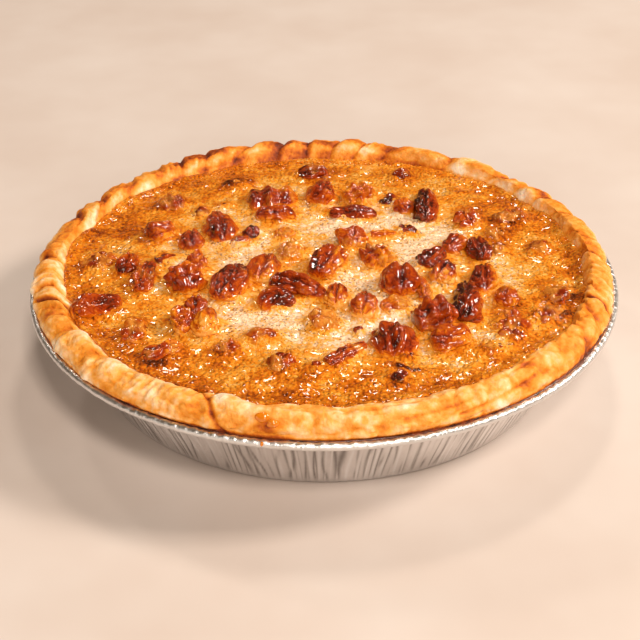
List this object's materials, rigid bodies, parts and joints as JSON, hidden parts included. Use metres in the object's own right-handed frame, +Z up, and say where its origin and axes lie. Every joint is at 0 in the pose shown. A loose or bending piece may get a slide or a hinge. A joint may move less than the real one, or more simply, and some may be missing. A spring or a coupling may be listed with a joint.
{
  "type": "pecan pie",
  "caption": "Whole baked pecan pie in its own deep foil tin, with a crimped rope crust, a custard filling and pecan pieces standing out of it.",
  "frame": {"origin": "centre of the tin's flat underside, on the surface that the pie stands on", "axes": "+Z up through the pie, +Y away from the front of the pie, +X to the right as seen from the front"},
  "size_m": [0.242, 0.242, 0.0476],
  "materials": {
    "foil": "thin pressed foil with fine pleats, bright rolled rim",
    "baked_pastry": "golden flaky shortcrust, browned at the crests",
    "baked_custard": "set custard with a mottled, slightly glossy skin",
    "glazed_pecan": "roasted pecan under a thin glossy syrup"
  },
  "bodies": {
    "root": {"foil_tin": "foil", "pastry_crust": "baked_pastry", "custard_filling": "baked_custard", "pecan_01": "glazed_pecan", "pecan_02": "glazed_pecan", "pecan_03": "glazed_pecan", "pecan_04": "glazed_pecan", "pecan_05": "glazed_pecan", "pecan_06": "glazed_pecan", "pecan_07": "glazed_pecan", "pecan_08": "glazed_pecan", "pecan_09": "glazed_pecan", "pecan_10": "glazed_pecan", "pecan_11": "glazed_pecan", "pecan_12": "glazed_pecan", "pecan_13": "glazed_pecan", "pecan_14": "glazed_pecan", "pecan_15": "glazed_pecan", "pecan_16": "glazed_pecan", "pecan_17": "glazed_pecan", "pecan_18": "glazed_pecan", "pecan_19": "glazed_pecan", "pecan_20": "glazed_pecan", "pecan_21": "glazed_pecan", "pecan_22": "glazed_pecan", "pecan_23": "glazed_pecan", "pecan_24": "glazed_pecan", "pecan_25": "glazed_pecan", "pecan_26": "glazed_pecan", "pecan_27": "glazed_pecan", "pecan_28": "glazed_pecan", "pecan_29": "glazed_pecan", "pecan_30": "glazed_pecan", "pecan_31": "glazed_pecan", "pecan_32": "glazed_pecan", "pecan_33": "glazed_pecan", "pecan_34": "glazed_pecan", "pecan_35": "glazed_pecan", "pecan_36": "glazed_pecan", "pecan_37": "glazed_pecan", "pecan_38": "glazed_pecan", "pecan_39": "glazed_pecan", "pecan_40": "glazed_pecan", "pecan_41": "glazed_pecan", "pecan_42": "glazed_pecan", "pecan_43": "glazed_pecan", "pecan_44": "glazed_pecan", "pecan_45": "glazed_pecan", "pecan_46": "glazed_pecan", "pecan_47": "glazed_pecan", "pecan_48": "glazed_pecan", "pecan_49": "glazed_pecan", "pecan_50": "glazed_pecan", "pecan_51": "glazed_pecan", "pecan_52": "glazed_pecan", "pecan_53": "glazed_pecan", "pecan_54": "glazed_pecan", "pecan_55": "glazed_pecan", "pecan_56": "glazed_pecan", "pecan_57": "glazed_pecan"}
  },
  "joints": []
}
